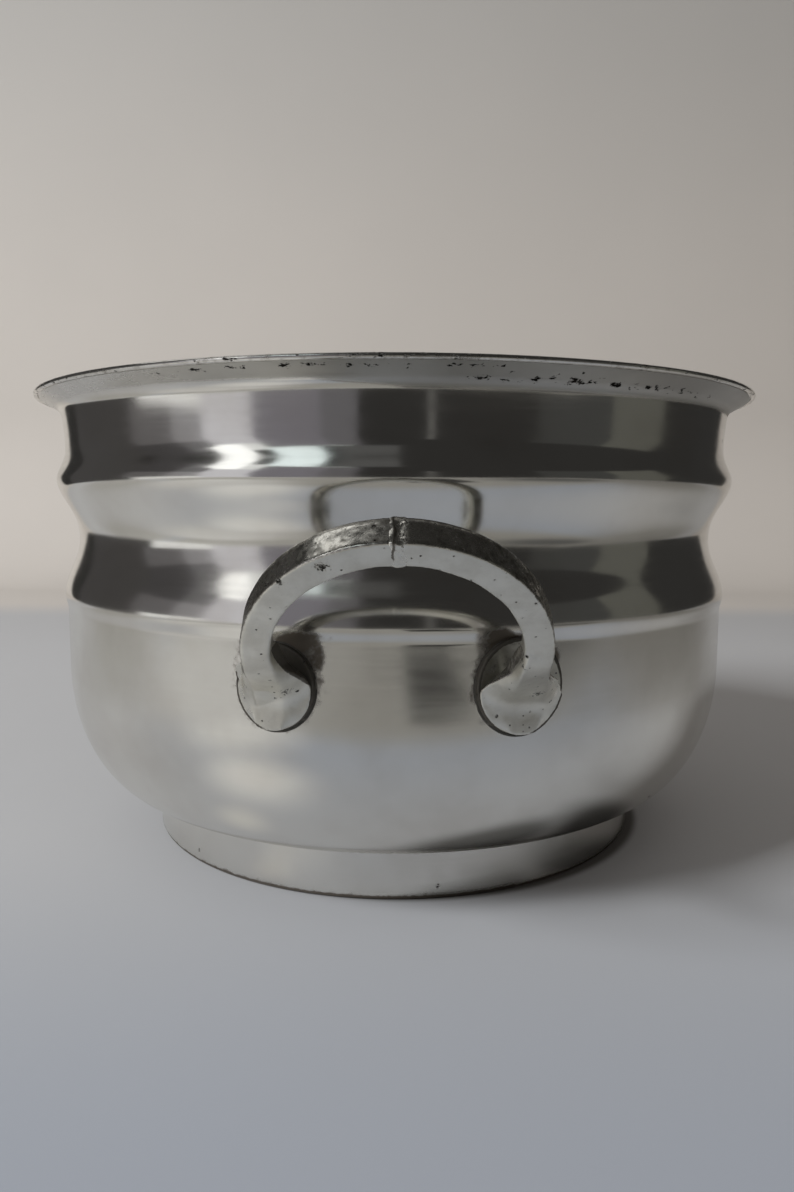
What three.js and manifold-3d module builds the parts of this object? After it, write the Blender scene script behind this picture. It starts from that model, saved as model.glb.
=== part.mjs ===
// A two-handled silver-plated cup: a thin raised bowl on a foot ring, with a loop handle
// soldered to the wall on two round pads at the front and at the back.
// Millimetres, +Z up. The origin is on the table, on the axis of the bowl. The front is -Y.

import * as THREE from 'three';
import { mergeVertices } from 'three/addons/utils/BufferGeometryUtils.js';
import Module from 'manifold-3d';

const wasm = await Module();
wasm.setup();

// Bowl, radii: the belly sets the body radius, and the other stations step out or in from it
const bodyRadius = 56.1;
const turnReach = 13;
const lowerRidgeRise = 0.35;
const lowerWaistDip = 2.15;
const upperRidgeRise = 1;
const upperWaistDip = 0.45;
const neckRise = 0.6;
const rimReach = 3.9;

// Bowl, heights: each is a step up from the station below it
const footHeight = 8;
const turnHeight = 21;
const bellyWallHeight = 9.6;
const lowerRidgeStep = 2.2;
const lowerWaistStep = 9;
const upperRidgeStep = 9.3;
const upperWaistStep = 4.8;
const neckStep = 6.6;
const lipSlope = THREE.MathUtils.degToRad(32);

// Sheet and wire
const wall = 0.7;
const rimWireDiameter = 0.9;
const seatGap = 0.3;

// Foot ring
const footInset = 0.9;
const footWall = 1.1;
const footHollow = 0.35;
const footEdge = 0.3;
const footSolderSize = 0.8;

// Handle: an arch between two straight legs, in a plane that leans out from the wall.
// handleReach is how far out of the wall that plane is, level with the pads.
const handleLean = THREE.MathUtils.degToRad(43);
const handleReach = 1.6;
const armHalfSpan = 15.5;
const archRise = 17.3;
const legLength = 8.4;
const legRootLength = 8;
const armWidth = 3.3;
const armDepth = 4.3;
const armBackRadius = 1.4;
const armFrontEdge = 0.25;
const crownSolderWidth = 2;
const crownSolderStep = 0.2;

// Pads, the fans that spread the arms over them, and the solder round them
const padAboveTurn = 4.6;
const padInset = 0.8;
const padDiameter = 10.8;
const padThickness = 1.3;
const padEdge = 0.3;
const fanThickness = 0.8;
const fanInnerRise = THREE.MathUtils.degToRad(-6);
const fanOuterRise = THREE.MathUtils.degToRad(16);
const fanShoulder = 2.5;
const fanSpread = 0.25;
const padSolderWidth = 0.5;
const padSolderHeight = 0.8;

// Turns of the front and the back handle about the axis of the bowl
const handleTurns = {
  front: THREE.MathUtils.degToRad(0.5),
  back: THREE.MathUtils.degToRad(180),
};

// Fineness
const roundSegments = 60;
const turnSegments = 7;
const waveSegments = 4;
const neckSegments = 3;
const wireSegments = 6;
const archSegments = 10;
const cornerSegments = 2;
const padSegments = 13;
const samePoint = 1e-6;

// Finishes
const finishes = {
  silver: { color: 0xb9b8b3, roughness: 0.22, metalness: 1 },
  cast: { color: 0xa9a8a3, roughness: 0.34, metalness: 1 },
  solder: { color: 0x5b5852, roughness: 0.6, metalness: 0.8 },
};

// Heights of the stations above the table
const turnTop = footHeight + turnHeight;
const bellyTop = turnTop + bellyWallHeight;
const lowerRidgeHeight = bellyTop + lowerRidgeStep;
const lowerWaistHeight = lowerRidgeHeight + lowerWaistStep;
const upperRidgeHeight = lowerWaistHeight + upperRidgeStep;
const upperWaistHeight = upperRidgeHeight + upperWaistStep;
const neckHeight = upperWaistHeight + neckStep;

// Radii that follow from the body radius
const baseRadius = bodyRadius - turnReach;
const footRadius = baseRadius - footInset;
const rimRadius = bodyRadius + rimReach;
const lipRadius = rimRadius - rimWireDiameter - seatGap;
const neckRadius = bodyRadius + neckRise;
const lipHeight = neckHeight + (lipRadius - neckRadius) * Math.tan(lipSlope);

// The curved bottom of the bowl: a quarter of an ellipse from the flat base up to the belly
function bottomTurn() {
  const points = [];
  for (let i = 0; i <= turnSegments; i += 1) {
    const angle = (Math.PI / 2) * (i / turnSegments);
    const radius = baseRadius + turnReach * Math.sin(angle);
    const height = turnTop - turnHeight * Math.cos(angle);
    points.push(new THREE.Vector2(radius, height));
  }
  return points;
}

// Half a wave between a crest and a hollow of the wall, without its first point
function halfWave(from, to) {
  const points = [];
  for (let i = 1; i <= waveSegments; i += 1) {
    const t = i / waveSegments;
    const share = (1 - Math.cos(Math.PI * t)) / 2;
    const radius = THREE.MathUtils.lerp(from.x, to.x, share);
    const height = THREE.MathUtils.lerp(from.y, to.y, t);
    points.push(new THREE.Vector2(radius, height));
  }
  return points;
}

// The neck: it leaves the upper hollow upright and opens towards the lip
function neckOpening(from, to) {
  const points = [];
  for (let i = 1; i <= neckSegments; i += 1) {
    const t = i / neckSegments;
    const radius = THREE.MathUtils.lerp(from.x, to.x, t * t);
    const height = THREE.MathUtils.lerp(from.y, to.y, t);
    points.push(new THREE.Vector2(radius, height));
  }
  return points;
}

// The outer face of the sheet, from the middle of the base to the edge of the lip
function outerOutline() {
  const stations = [
    new THREE.Vector2(bodyRadius, bellyTop),
    new THREE.Vector2(bodyRadius + lowerRidgeRise, lowerRidgeHeight),
    new THREE.Vector2(bodyRadius - lowerWaistDip, lowerWaistHeight),
    new THREE.Vector2(bodyRadius + upperRidgeRise, upperRidgeHeight),
    new THREE.Vector2(bodyRadius - upperWaistDip, upperWaistHeight),
  ];
  const points = [new THREE.Vector2(0, footHeight), ...bottomTurn(), stations[0]];
  for (let i = 1; i < stations.length; i += 1) {
    points.push(...halfWave(stations[i - 1], stations[i]));
  }
  const hollow = stations[stations.length - 1];
  points.push(...neckOpening(hollow, new THREE.Vector2(neckRadius, neckHeight)));
  points.push(new THREE.Vector2(lipRadius, lipHeight));
  return points;
}

// The unit vector to the left of a step from one point to the next
function leftOf(from, to) {
  const along = to.clone().sub(from).normalize();
  return new THREE.Vector2(-along.y, along.x);
}

// An outline moved sideways by a distance, to the left of its direction of travel
function offsetOutline(points, distance) {
  const last = points.length - 1;
  return points.map((point, i) => {
    const before = leftOf(points[Math.max(i - 1, 0)], points[Math.max(i, 1)]);
    const after = leftOf(points[Math.min(i, last - 1)], points[Math.min(i + 1, last)]);
    const middle = before.clone().add(after).normalize();
    return point.clone().addScaledVector(middle, distance / middle.dot(before));
  });
}

// A body of revolution about +Z from an outline of radius and height
function revolve(points) {
  return new THREE.LatheGeometry(points, roundSegments).rotateX(Math.PI / 2);
}

// A closed geometry as a solid, and a solid as a geometry
function solidOf(geometry) {
  const bare = geometry.clone();
  bare.deleteAttribute('normal');
  bare.deleteAttribute('uv');
  const merged = mergeVertices(bare);
  const vertProperties = new Float32Array(merged.attributes.position.array);
  const triVerts = new Uint32Array(merged.index.array);
  return new wasm.Manifold(new wasm.Mesh({ numProp: 3, vertProperties, triVerts }));
}

function geometryOf(solid) {
  const mesh = solid.getMesh();
  const geometry = new THREE.BufferGeometry();
  geometry.setAttribute('position', new THREE.BufferAttribute(mesh.vertProperties, mesh.numProp));
  geometry.setIndex(new THREE.BufferAttribute(mesh.triVerts, 1));
  geometry.computeVertexNormals();
  return geometry;
}

// Radius of the outer face of the wall at a height, read off the outline
function wallRadiusAt(height) {
  const points = outerOutline();
  const above = points.findIndex((point, i) => i > 1 && point.y >= height);
  const low = points[above - 1];
  const high = points[above];
  return THREE.MathUtils.mapLinear(height, low.y, high.y, low.x, high.x);
}

// Bowl: the sheet between its outer outline and the same outline moved in by the wall
function bowlShell() {
  const outer = outerOutline();
  const inner = offsetOutline(outer, wall);
  return revolve([...outer, ...inner.reverse()]);
}

// Rim wire: round, against the end of the lip
function rimWire() {
  const wireRadius = rimWireDiameter / 2;
  const wireHeight = lipHeight + (wall / 2) * Math.cos(lipSlope);
  const points = [];
  for (let i = 0; i <= wireSegments; i += 1) {
    const angle = 2 * Math.PI * ((i % wireSegments) / wireSegments);
    const radius = rimRadius - wireRadius + wireRadius * Math.cos(angle);
    points.push(new THREE.Vector2(radius, wireHeight + wireRadius * Math.sin(angle)));
  }
  return revolve(points);
}

// Foot ring: a strip with a slightly hollow outer face and an eased lower edge
function footRing() {
  const points = [
    new THREE.Vector2(footRadius - footWall, 0),
    new THREE.Vector2(footRadius - footEdge, 0),
    new THREE.Vector2(footRadius, footEdge),
    new THREE.Vector2(footRadius - footHollow, footHeight / 2),
    new THREE.Vector2(footRadius, footHeight),
    new THREE.Vector2(footRadius - footWall, footHeight),
    new THREE.Vector2(footRadius - footWall, 0),
  ];
  return revolve(points);
}

// Foot seam: a fillet of solder under the flat base, outside the foot ring
function footSolderSeam() {
  const inside = footRadius + seatGap;
  const points = [
    new THREE.Vector2(inside, footHeight - footSolderSize),
    new THREE.Vector2(inside + footSolderSize, footHeight),
    new THREE.Vector2(inside, footHeight),
    new THREE.Vector2(inside, footHeight - footSolderSize),
  ];
  return revolve(points);
}

// The space that the bowl and its gap take up, which pads and seams are cut by
function bowlClearance() {
  const skin = offsetOutline(outerOutline(), -seatGap);
  const last = skin[skin.length - 1];
  return solidOf(revolve([...skin, new THREE.Vector2(0, last.y)]));
}

// Place of a pad: its centre is on the wall, its own +Z points straight out of the wall
const padHeight = turnTop + padAboveTurn;
const padWallRadius = wallRadiusAt(padHeight);
const padSpan = armHalfSpan - padInset;
const padAngle = Math.asin(padSpan / padWallRadius);

function padFrame(side) {
  const outward = new THREE.Vector3(side * Math.sin(padAngle), -Math.cos(padAngle), 0);
  const up = new THREE.Vector3(0, 0, 1);
  const across = new THREE.Vector3().crossVectors(up, outward);
  const frame = new THREE.Matrix4().makeBasis(across, up, outward);
  const centre = outward.multiplyScalar(padWallRadius);
  return frame.setPosition(centre.x, centre.y, padHeight);
}

// Pad: a round plate with an eased edge, its back cut to the curve of the wall
function pad(side) {
  const circle = new THREE.Shape().absarc(0, 0, padDiameter / 2 - padEdge, 0, 2 * Math.PI);
  const plate = new THREE.ExtrudeGeometry(circle, {
    depth: padThickness + seatGap,
    curveSegments: padSegments,
    bevelSize: padEdge,
    bevelThickness: padEdge,
    bevelSegments: 1,
  });
  plate.translate(0, 0, -padEdge - seatGap);
  plate.applyMatrix4(padFrame(side));
  return geometryOf(solidOf(plate).subtract(bowlClearance()));
}

// Pad solder: a low ring round the pad, its back cut to the curve of the wall
function padSolder(side) {
  const inside = padDiameter / 2 + seatGap;
  const ring = new THREE.Shape().absarc(0, 0, inside + padSolderWidth, 0, 2 * Math.PI);
  ring.holes.push(new THREE.Path().absarc(0, 0, inside, 0, 2 * Math.PI));
  const band = new THREE.ExtrudeGeometry(ring, {
    depth: 2 * padSolderHeight,
    curveSegments: padSegments,
    bevelEnabled: false,
  });
  band.translate(0, 0, -padSolderHeight);
  band.applyMatrix4(padFrame(side));
  return geometryOf(solidOf(band).subtract(bowlClearance()));
}

// Frame of the arch: +X across, +Y up and out along the loop, +Z down and out, square to it
function archFrame() {
  const frame = new THREE.Matrix4().makeRotationX(Math.PI / 2 + handleLean);
  return frame.setPosition(0, -(padWallRadius + handleReach), padHeight);
}

// Section of an arm: flat in front with crisp edges, rounded behind
function armSection(width, depth) {
  const side = width / 2;
  const front = depth / 2;
  const backRadius = Math.min(armBackRadius, side);
  const cornerX = side - backRadius;
  const cornerY = -front + backRadius;
  const shape = new THREE.Shape();
  shape.moveTo(side - armFrontEdge, front);
  shape.lineTo(-side + armFrontEdge, front);
  shape.lineTo(-side, front - armFrontEdge);
  shape.absarc(-cornerX, cornerY, backRadius, Math.PI, 1.5 * Math.PI);
  shape.absarc(cornerX, cornerY, backRadius, 1.5 * Math.PI, 2 * Math.PI);
  shape.lineTo(side, front - armFrontEdge);
  const points = shape.extractPoints(cornerSegments).shape;
  return points.filter((point, i) => i === 0 || point.distanceTo(points[i - 1]) > samePoint);
}

// A closed bar: the section at each station, its X along the station's normal and its Y along +Z
function sweep(stations, section) {
  const positions = [];
  for (const { x, y, normalX, normalY } of stations) {
    for (const point of section) {
      positions.push(x + point.x * normalX, y + point.x * normalY, point.y);
    }
  }
  const indices = [];
  const count = section.length;
  for (let ring = 0; ring < stations.length - 1; ring += 1) {
    for (let i = 0; i < count; i += 1) {
      const a = ring * count + i;
      const b = ring * count + ((i + 1) % count);
      indices.push(a, a + count, b, b, a + count, b + count);
    }
  }
  const caps = THREE.ShapeUtils.triangulateShape(section, []);
  const lastRing = (stations.length - 1) * count;
  for (const [a, b, c] of caps) {
    indices.push(a, b, c, lastRing + a, lastRing + c, lastRing + b);
  }
  const geometry = new THREE.BufferGeometry();
  geometry.setAttribute('position', new THREE.Float32BufferAttribute(positions, 3));
  geometry.setIndex(indices);
  geometry.computeVertexNormals();
  return geometry;
}

// A station on the arch, half an ellipse, by its angle from the leg on the +X side
function archStation(angle) {
  const x = armHalfSpan * Math.cos(angle);
  const y = legLength + archRise * Math.sin(angle);
  const normal = new THREE.Vector2(archRise * Math.cos(angle), armHalfSpan * Math.sin(angle));
  normal.normalize();
  return { x, y, normalX: normal.x, normalY: normal.y };
}

const crownHalfAngle = crownSolderWidth / 2 / armHalfSpan;
const crownGapAngle = seatGap / armHalfSpan;

// The bar of one arm: a straight leg from inside the wall, and a quarter of the arch
function armBar(side) {
  const leg = { x: armHalfSpan, y: -legRootLength, normalX: 1, normalY: 0 };
  const stations = [leg];
  const lastAngle = Math.PI / 2 - crownHalfAngle - crownGapAngle;
  for (let i = 0; i <= archSegments; i += 1) {
    stations.push(archStation(lastAngle * (i / archSegments)));
  }
  const mirrored = stations.map(({ x, y, normalX, normalY }) => (
    { x: side * x, y, normalX: side * normalX, normalY }
  ));
  const ordered = side > 0 ? mirrored : mirrored.reverse();
  return sweep(ordered, armSection(armWidth, armDepth)).applyMatrix4(archFrame());
}

// The fan at the root: it covers the pad below a line from the arm down to the inner edge
function fan(side) {
  const radius = padDiameter / 2 - padEdge;
  const shape = new THREE.Shape();
  shape.absarc(0, 0, radius, Math.PI - fanInnerRise, 2 * Math.PI + fanOuterRise);
  shape.lineTo(padInset + armWidth / 2 + fanSpread, fanShoulder);
  shape.lineTo(padInset - armWidth / 2 - fanSpread, fanShoulder);
  const plate = new THREE.ExtrudeGeometry(shape, {
    depth: fanThickness,
    curveSegments: padSegments,
    bevelEnabled: false,
  });
  plate.translate(0, 0, padThickness + seatGap);
  if (side < 0) {
    plate.rotateY(Math.PI).translate(0, 0, 2 * (padThickness + seatGap) + fanThickness);
  }
  return solidOf(plate.applyMatrix4(padFrame(side)));
}

// What lies behind the face of a pad: the arm is cut off there
function behindPadFace(side) {
  const size = 2 * (padDiameter + legRootLength);
  const block = new THREE.BoxGeometry(size, size, size);
  block.translate(0, 0, padThickness + seatGap - size / 2);
  return solidOf(block.applyMatrix4(padFrame(side)));
}

function arm(side) {
  const bar = solidOf(armBar(side)).subtract(behindPadFace(side));
  return geometryOf(bar.add(fan(side)));
}

// Crown solder: a short, slightly fuller piece of the arch between the ends of the arms
function crownSolder() {
  const first = archStation(Math.PI / 2 - crownHalfAngle);
  const last = archStation(Math.PI / 2 + crownHalfAngle);
  const width = armWidth + 2 * crownSolderStep;
  const depth = armDepth + 2 * crownSolderStep;
  return sweep([first, last], armSection(width, depth)).applyMatrix4(archFrame());
}

function piece(name, geometry, finish) {
  const mesh = new THREE.Mesh(geometry, new THREE.MeshStandardMaterial(finishes[finish]));
  mesh.name = name;
  return mesh;
}

// One handle in front of the bowl; left and right are as a person facing it sees them
function handle(place) {
  const group = new THREE.Group();
  for (const [hand, side] of [['left', -1], ['right', 1]]) {
    group.add(piece(`${place}_handle_${hand}_arm`, arm(side), 'cast'));
    group.add(piece(`${place}_handle_${hand}_pad`, pad(side), 'cast'));
    group.add(piece(`${place}_handle_${hand}_pad_solder`, padSolder(side), 'solder'));
  }
  group.add(piece(`${place}_handle_crown_solder`, crownSolder(), 'solder'));
  group.rotation.z = handleTurns[place];
  return group;
}

const cup = new THREE.Group();
cup.add(piece('bowl_shell', bowlShell(), 'silver'));
cup.add(piece('rim_wire', rimWire(), 'silver'));
cup.add(piece('foot_ring', footRing(), 'silver'));
cup.add(piece('foot_solder_seam', footSolderSeam(), 'solder'));
for (const place of Object.keys(handleTurns)) {
  cup.add(handle(place));
}

export default cup;
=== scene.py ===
"""A two-handled silver-plated cup on a pale table.

Sizes are in millimetres and become metres where a mesh is made. The front of the cup is -Y.
"""
import math
from collections import namedtuple

import bmesh
import bpy
import numpy as np
from mathutils import Matrix, Vector, noise


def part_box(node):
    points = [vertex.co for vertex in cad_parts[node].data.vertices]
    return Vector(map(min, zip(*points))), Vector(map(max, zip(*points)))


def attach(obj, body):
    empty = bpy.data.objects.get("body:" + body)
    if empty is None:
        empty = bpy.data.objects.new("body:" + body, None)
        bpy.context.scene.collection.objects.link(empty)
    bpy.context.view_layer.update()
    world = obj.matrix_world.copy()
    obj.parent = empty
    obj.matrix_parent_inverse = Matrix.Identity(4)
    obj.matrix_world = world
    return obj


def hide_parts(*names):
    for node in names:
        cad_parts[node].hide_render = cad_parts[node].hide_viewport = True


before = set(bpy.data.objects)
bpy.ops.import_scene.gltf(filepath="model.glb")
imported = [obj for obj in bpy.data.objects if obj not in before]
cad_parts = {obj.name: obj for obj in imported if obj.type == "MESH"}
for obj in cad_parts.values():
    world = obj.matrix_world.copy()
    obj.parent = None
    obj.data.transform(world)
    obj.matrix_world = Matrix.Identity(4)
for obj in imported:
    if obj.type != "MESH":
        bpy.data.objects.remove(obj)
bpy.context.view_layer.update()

MM = 0.001
FULL_TURN = 2 * math.pi
RIGHT_ANGLE = math.pi / 2


def highest(name):
    """Highest corner of a CAD node, in millimetres."""
    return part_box(name)[1] / MM


def shares(count, first=0):
    """Even steps from 0 to 1."""
    return [i / count for i in range(first, count + 1)]


# Sizes read off the frame
FOOT_HEIGHT = highest("foot_ring").z
FOOT_RADIUS = highest("foot_ring").x
RIM_RADIUS = highest("rim_wire").x

# Bowl: radius and height of the stations of its outer face
BODY_RADIUS = 56.1
TURN_REACH = 13.0
TURN_HEIGHT = 21.0
BELLY_TOP = 38.6
LOWER_RIDGE = (56.45, 40.8)
LOWER_WAIST = (53.95, 49.8)
UPPER_RIDGE = (57.1, 59.1)
UPPER_WAIST = (55.65, 63.9)
RIDGE_RISE_SKEW = 1.25
RIDGE_FALL_SKEW = 0.85
COVE_HEIGHT = 68.9
COVE_LEAN = math.radians(8)
COVE_RADIUS = 2.2
LIP_LEAN = math.radians(60)
WALL = 0.7
RIM_WIRE_RADIUS = 0.38
RIM_WIRE_LIFT = 0.342

# Foot ring and its seam
FOOT_WALL = 1.1
FOOT_HOLLOW = 0.1
FOOT_FLARE = 0.6
FOOT_EDGE = 0.8
SEAM_SIZE = 0.75

# Waviness left by the hand that finished the sheet: seed and depth
BOWL_WAVES = (4, 0.018)
FOOT_WAVES = (9, 0.012)
WAVE_TURNS = range(2, 12)
WAVE_LEAST_PITCH = 4

# Handle: half an ellipse between two straight legs, in a plane that leans out from the wall
HANDLE_LEAN = math.radians(43)
HANDLE_REACH = 1.6
ARM_HALF_SPAN = 15.5
ARCH_RISE = 17.3
LEG_LENGTH = 8.4
ARM_WIDTH = 3.3
ARM_DEPTH = 4.3
ARM_BACK_RADIUS = 1.45
ARM_BACK_SHARE = 0.45
ARM_FRONT_RADIUS = 0.22
ARM_ROOT_DEPTH = 0.8
ARM_ROOT_START = 8.4
ARM_ROOT_END = -1.1
ARM_ROOT_THINNING = 2.6
ARM_ROOT_EASE = 1.6
HANDLE_TURNS = {"front": math.radians(0.5), "back": math.radians(180)}
SIDES = {"left": -1, "right": 1}

# Joint in the middle of the arch, with a shallow dip in its top and a wandering line of painted shade
# along it, where no cut is made
CROWN_WIDTH = 1.9
CROWN_STEP = 0.12
CROWN_SINK = 0.06
CROWN_RINGS = 16
CROWN_SPECKS = (0.5, 0.7)
NOTCH_PLACE = 0.1
NOTCH_WIDTH = 0.45
NOTCH_DEPTH = 0.22
SHADE_LINE_PLACE = -0.45
SHADE_LINE_WIDTH = 0.16
SHADE_LINE_FADE = (-1.0, -0.4)
# Waves of the line of painted shade: axis, swing, pitch and start
SHADE_LINE_WAVES = [(1, 0.07, 3.1, 0.0), (2, 0.12, 1.7, 0.6)]

# Pads, and the solder round them
PAD_HEIGHT = 33.6
PAD_INSET = 0.8
PAD_RADII = {-1: 5.05, 1: 5.65}
PAD_STRETCH = 1.07
PAD_THICKNESS = 0.7
PAD_EDGE = 0.25
PAD_SEAT = 0.35
PAD_RINGS = 24
SOLDER_WIDTH = 0.28
SOLDER_HEIGHT = 0.4
SOLDER_LIFT = 0.04
SOLDER_TUCK = 0.2
SOLDER_SPREAD = 0.05
# How far each ring of solder is off its pad's middle: away from the other pad, and up
SOLDER_SHIFT = (0.1, -0.12)
# How far the front pads are off their places, across and up, and the fans on them, up
PAD_SHIFTS = {-1: (0.0, -0.2), 1: (0.3, -0.1)}
FAN_SHIFTS = {-1: 0.35, 1: -0.4}

# Fans that spread the arms over the pads and bend down to them
FAN_TOP = 1.15
FAN_INSET = 0.15
FAN_EASE = 6
FAN_BLEND = 2.2
FAN_REACH = 6.4
FAN_SINKS = 5.2
FAN_SINK_SLOPE = 0.3
FAN_BASE_START = 0.9
FAN_BASE_SLOPE = 0.9
FAN_GAP = 0.02
FAN_LEAST = 0.0001
FAN_CROWDING = 1.3
FAN_MARGIN = 3
FAN_RIM_FADE = (-0.4, -0.25)
FAN_STEPS = 14
FAN_RISE = [(t, t * t * (3 - 2 * t)) for t in shares(FAN_STEPS)]
FAN_STATIONS = 72
FAN_INNER_LOW = 0.4
FAN_OUTER_LOWS = {-1: 2.6, 1: -1.0}
# Edges of the fan over the pad: across, up and out from the wall, from the arm down to the pad's rim
FAN_INNER_EDGE = [
    (-3.6, 6.4, 11.7), (-3.7, 5.2, 10.4), (-3.6, 3.4, 7.2), (-4.1, 2.3, 5.0), (-4.8, 1.3, 3.0),
]
FAN_OUTER_EDGES = {
    -1: [(-1.0, 6.4, 11.7), (-0.5, 5.0, 10.6), (0.9, 4.1, 8.2), (2.2, 3.5, 4.2), (2.9, 3.1, 1.9)],
    1: [(-1.0, 6.4, 11.7), (-0.5, 4.4, 10.3), (0.9, 3.2, 8.2), (2.6, 2.3, 5.0), (4.1, 1.5, 2.3),
        (5.1, 0.4, 1.4)],
}

# Darkening that fades from a seam, an edge or a pad: strength and reach. Round the pads, above the foot
# seam and at the foot's bottom edge and top it is painted shade; along the rim and at the arms' roots the
# silver is tarnished
PAD_SHADE_HALO = (0.5, 1.1)
SEAM_SHADE_HALO = (0.7, 1.2)
RIM_HALO = (0.4, 0.8)
TABLE_SHADE_HALO = (1.0, 0.35)
TABLE_SHADE_START = 0.5
FOOT_TOP_SHADE_HALO = (0.5, 0.8)
ROOT_HALO = (0.12, 6.0)

# Runs of pits inwards from the rim and up from the cove: place, reach, angle, half width, least share
RIM_PITS = (-1.4, 0.6, -10, 24, 0.4)
COVE_PITS = (1.4, 0.7, 28, 24, 0.3)

# Wear of the lip, and painted shade in the corner above the foot, each eased between two angles in degrees
LIP_WEAR = (0.75, 0.33)
LIP_WEAR_EASES = (-3, -28)
CORNER_SHADE = (0.1, 0.3)
CORNER_SHADE_EASES = (2, 14)
CORNER_SHADE_PLACE = (0.9, 1.0)
# Heights above the cove where the lip's wear starts, and angles between which it spreads 1 mm down
LIP_WEAR_STARTS = (1.0, 1.5)
LIP_WEAR_SPREADS = (-10, 2)
# How much the painted shade and smudging by the front pads add to the wear
SHADE_AND_SMUDGE_WEAR = 0.4
# Heights between which the satin of the bottom gives way to the polish of the wall
SATIN_FADE = (BELLY_TOP + 1, BELLY_TOP - 2)

# Painted shade, with some smudging, on the wall by the front pads: across, height, reach across and up,
# strength
SHADE_AND_SMUDGES = [
    (-11.0, 39.3, 2.9, 1.3, 0.85), (-9.0, 37.6, 0.7, 1.8, 0.7), (-19.0, 38.6, 1.4, 2.0, 0.15),
    (13.0, 39.7, 2.2, 1.2, 0.85), (19.9, 37.0, 0.8, 1.4, 0.7),
]

# Tarnish of the arms: everywhere, and on the bar's outer side, left alone and rubbed
ARM_TARNISH = 0.05
SIDE_TARNISH = (0.5, 0.34)
# How far outwards a face points and how far from the pad it is, where that starts and where it is full
SIDE_FACES = (0.4, 0.7)
SIDE_STARTS = (6, 9)
# Rubbed stretches of the front handle: middle across, half length and share
RUBBED = [(-5.2, 5.4, 1.0), (6.0, 5.0, 0.4)]
BACK_RUBBED = 0.5
# Painted shade on the inner half of each pad, deeper on the left; the outer half is a little tarnished,
# and the rim is painted full dark as shade where the pad meets the wall
PAD_INNER_SHADE = {-1: 0.9, 1: 0.35}
PAD_OUTER_TARNISH = 0.15
PAD_RIM = 0.4
# Painted shade in the corner between each arm and its pad, deeper on the left
ARM_CORNER_SHADE = {-1: 1.0, 1: 0.5}
# The painted shade in the corner between an arm and its pad: its edge as places inwards and up, seen along
# a slant
CORNER_EDGE = [(-1.3, 9.0), (-1.05, 4.2), (-0.4, 2.8), (0.85, 1.57), (2.75, 0.76), (4.2, 0.16)]
CORNER_SLANT = 0.435
CORNER_DROP = 0.22
CORNER_FADE = 0.3
CORNER_REACH = 7.0
# Clusters of pits on the front handle: place and size
ARM_MARKS = [
    (-6.7, -75.8, 49.7, 0.8), (-11.0, -74.3, 48.1, 0.6), (4.3, -75.2, 49.2, 0.5),
    (14.7, -64.7, 38.1, 0.6), (-17.2, -56.6, 34.4, 0.9), (-12.7, -57.8, 33.9, 0.9),
    (15.3, -61.3, 35.7, 0.6), (17.2, -58.1, 33.4, 0.9),
]

# Unevenness of cast and soldered faces: its seed, and the size and depth of its bumps
ARM_SEED = 3
PAD_SEED = 5
PAD_SOLDER_SEED = 11
SEAM_SEED = 3
CROWN_SEED = 8
ARM_BUMPS = {3.0: 0.06, 0.9: 0.015}
PAD_BUMPS = {2.0: 0.06}
PAD_SOLDER_BUMPS = {1.2: 0.03}
SEAM_BUMPS = {1.5: 0.08}
CROWN_BUMPS = {1.0: 0.06, 0.4: 0.04}
# How far apart two seeds are in the noise
BUMP_SPREAD = (7.3, 3.1)

# Fineness
ROUND_SEGMENTS = 360
PAD_SEGMENTS = 96
WAVE_SEGMENTS = 22
TURN_SEGMENTS = 40
BASE_RINGS = 24
COVE_SEGMENTS = 14
WIRE_SEGMENTS = 20
ARCH_SEGMENTS = 60
CORNER_SEGMENTS = 6
CAST_VOXEL = 0.17
CAST_SMOOTHING = 5
CROWN_VOXEL = 0.119
CROWN_SMOOTHING = 3
# Angle in degrees from which an edge is crisp
SHEET_SHARPNESS = 35
CAST_SHARPNESS = 60
TINY = 1e-6


def lerp(a, b, share):
    return a + (b - a) * share


def ramp(values, start, end):
    """0 up to the start and 1 from the end on."""
    return np.clip((values - start) / (end - start), 0, 1)


def bell(values, middle, reach, power=2):
    """1 in the middle, falling away on both sides."""
    return np.exp(-((values - middle) / reach) ** power)


def halo(distances, strength, reach):
    """A strength that fades with the distance."""
    return strength * np.exp(-np.clip(distances, 0, None) / reach)


# Outlines, as lists of radius and height

def arc(centre, reach, start, segments=CORNER_SEGMENTS, turn=RIGHT_ANGLE):
    """Part of an ellipse: its centre, its half sizes, the angle it starts at and how far it turns."""
    angles = [start + turn * t for t in shares(segments)]
    return [(centre[0] + reach[0] * math.cos(a), centre[1] + reach[1] * math.sin(a)) for a in angles]


def half_wave(start, end, skew=1.0):
    """Half a wave between a crest and a hollow of the wall, without its first point."""
    points = []
    for t in shares(WAVE_SEGMENTS, 1):
        share = (1 - math.cos(math.pi * t ** skew)) / 2
        points.append((lerp(start[0], end[0], share), lerp(start[1], end[1], t)))
    return points


def neck():
    """The neck leaves the upper hollow upright and leans out as it nears the cove."""
    rise = COVE_HEIGHT - UPPER_WAIST[1]
    bend = math.tan(COVE_LEAN) / (2 * rise)
    climbs = [rise * t for t in shares(WAVE_SEGMENTS, 1)]
    return [(UPPER_WAIST[0] + bend * climb ** 2, UPPER_WAIST[1] + climb) for climb in climbs]


def cove(start):
    """The tight hollow under the lip, an arc that turns the wall outwards."""
    centre = (start[0] + COVE_RADIUS * math.cos(COVE_LEAN), start[1] - COVE_RADIUS * math.sin(COVE_LEAN))
    return arc(centre, (-COVE_RADIUS, COVE_RADIUS), COVE_LEAN, COVE_SEGMENTS, LIP_LEAN - COVE_LEAN)[1:]


def straight(start, end, count):
    """Evenly spaced points on a line, without its first point."""
    return [(lerp(start[0], end[0], t), lerp(start[1], end[1], t)) for t in shares(count, 1)]


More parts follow.
